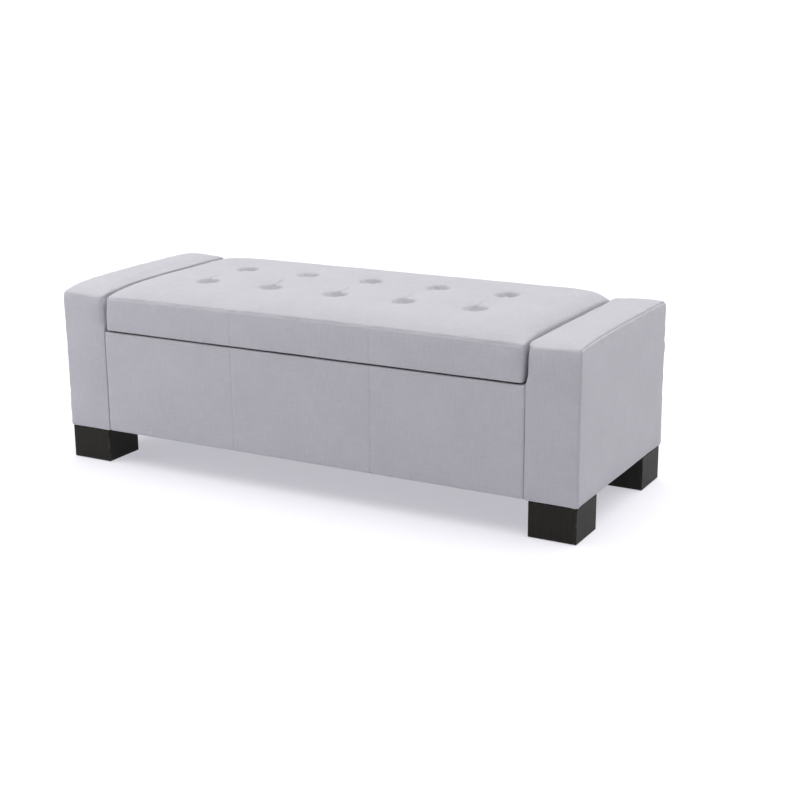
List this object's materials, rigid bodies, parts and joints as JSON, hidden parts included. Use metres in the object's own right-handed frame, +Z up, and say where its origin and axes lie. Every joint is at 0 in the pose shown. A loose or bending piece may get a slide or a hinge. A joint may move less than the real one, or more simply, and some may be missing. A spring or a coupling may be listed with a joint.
{
  "type": "storage bench",
  "caption": "Long upholstered storage bench with padded arms, a lift-up button-tufted lid on a full-width hinge with gas struts, and square block legs.",
  "frame": {"origin": "on the floor, under the middle of the bench", "axes": "+X along the bench to its right seen from the front, +Y from front to back, +Z up"},
  "size_m": [1.2916, 0.4952, 0.4318],
  "materials": {
    "upholstery": "light grey linen weave, matt",
    "foam": "cut polyurethane foam",
    "plywood": "raw birch plywood",
    "black_cloth": "non-woven lining cloth, matt",
    "black_wood": "black-brown satin lacquer",
    "zinc_steel": "zinc plated",
    "black_steel": "black powder coat",
    "polished_rod": "hard chrome, polished"
  },
  "bodies": {
    "base": {"front_panel": "plywood", "back_panel": "plywood", "floor_panel": "plywood", "left_end_panel": "plywood", "left_arm_side_panel": "plywood", "left_arm_top_rail": "plywood", "left_arm_bottom_rail": "plywood", "left_arm_front_rail": "plywood", "left_arm_rear_rail": "plywood", "right_end_panel": "plywood", "right_arm_side_panel": "plywood", "right_arm_top_rail": "plywood", "right_arm_bottom_rail": "plywood", "right_arm_front_rail": "plywood", "right_arm_rear_rail": "plywood", "left_arm_foam": "foam", "right_arm_foam": "foam", "left_arm_cover": "upholstery", "right_arm_cover": "upholstery", "front_cover": "upholstery", "back_cover": "upholstery", "storage_lining": "black_cloth", "dust_cover": "black_cloth", "leg_front_left": "black_wood", "leg_rear_left": "black_wood", "leg_front_right": "black_wood", "leg_rear_right": "black_wood", "leg_bolt_front_left": "zinc_steel", "leg_bolt_rear_left": "zinc_steel", "leg_bolt_front_right": "zinc_steel", "leg_bolt_rear_right": "zinc_steel", "hinge_box_leaf": "zinc_steel", "hinge_pin": "zinc_steel", "strut_box_bracket_left": "black_steel", "strut_box_bracket_right": "black_steel"},
    "lid": {"lid_front_rail": "plywood", "lid_rear_rail": "plywood", "lid_left_rail": "plywood", "lid_right_rail": "plywood", "lid_deck": "plywood", "lid_foam": "foam", "lid_cover": "upholstery", "lid_lining": "black_cloth", "button_front_1": "upholstery", "button_front_2": "upholstery", "button_front_3": "upholstery", "button_front_4": "upholstery", "button_front_5": "upholstery", "button_rear_1": "upholstery", "button_rear_2": "upholstery", "button_rear_3": "upholstery", "button_rear_4": "upholstery", "button_rear_5": "upholstery", "hinge_lid_leaf": "zinc_steel", "strut_lid_bracket_left": "black_steel", "strut_lid_bracket_right": "black_steel"},
    "strut_tube_left": {"strut_tube_left": "black_steel"},
    "strut_rod_left": {"strut_rod_left": "polished_rod"},
    "strut_tube_right": {"strut_tube_right": "black_steel"},
    "strut_rod_right": {"strut_rod_right": "polished_rod"}
  },
  "joints": [
    {"name": "lid_hinge", "type": "hinge", "parent": "base", "child": "lid", "pos_m": [0, 0.24365, 0.3195], "axis": [-1, 0, 0], "range_deg": [0, 75]},
    {"name": "strut_tube_left_pivot", "type": "hinge", "parent": "base", "child": "strut_tube_left", "pos_m": [-0.511, 0.19835, 0.1176], "axis": [-1, 0, 0], "range_deg": [0, 37.5]},
    {"name": "strut_rod_left_pivot", "type": "hinge", "parent": "lid", "child": "strut_rod_left", "pos_m": [-0.511, 0.03735, 0.3035], "axis": [1, 0, 0], "range_deg": [0, 37.5]},
    {"name": "strut_tube_right_pivot", "type": "hinge", "parent": "base", "child": "strut_tube_right", "pos_m": [0.511, 0.19835, 0.1176], "axis": [-1, 0, 0], "range_deg": [0, 37.5]},
    {"name": "strut_rod_right_pivot", "type": "hinge", "parent": "lid", "child": "strut_rod_right", "pos_m": [0.511, 0.03735, 0.3035], "axis": [1, 0, 0], "range_deg": [0, 37.5]}
  ],
  "couplings": [
    {"joint": "strut_tube_left_pivot", "follows": "lid_hinge", "ratio": 0.5},
    {"joint": "strut_rod_left_pivot", "follows": "lid_hinge", "ratio": 0.5},
    {"joint": "strut_tube_right_pivot", "follows": "lid_hinge", "ratio": 0.5},
    {"joint": "strut_rod_right_pivot", "follows": "lid_hinge", "ratio": 0.5}
  ]
}
